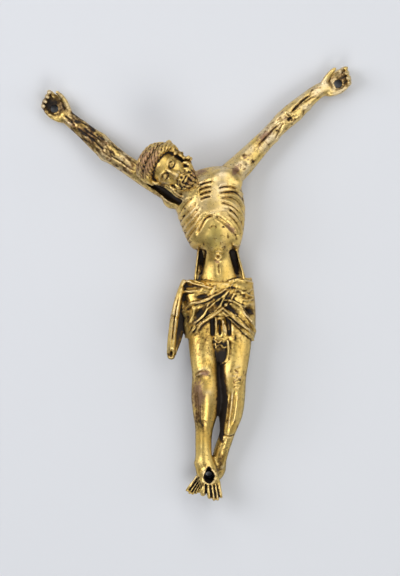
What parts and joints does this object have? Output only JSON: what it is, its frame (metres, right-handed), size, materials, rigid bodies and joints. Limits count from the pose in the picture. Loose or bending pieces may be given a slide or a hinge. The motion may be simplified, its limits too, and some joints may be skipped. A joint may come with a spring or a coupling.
{
  "type": "crucifix corpus figure",
  "caption": "Small gilt-bronze figure with raised outstretched arms, leaning head, loincloth and crossed feet, pierced through palms and feet to be nailed to a cross; it lies on its back.",
  "frame": {"origin": "on the plane that the figure lies on, under the middle of its length and width", "axes": "+Z out of the figure's front, +Y towards its head end, +X towards its own left hand"},
  "size_m": [0.1712, 0.2394, 0.0402],
  "materials": {
    "gilt_bronze": "worn fire gilding on cast bronze, bright on the high places, with dark brown patina in the hollows"
  },
  "bodies": {
    "root": {"corpus": "gilt_bronze"}
  },
  "joints": []
}
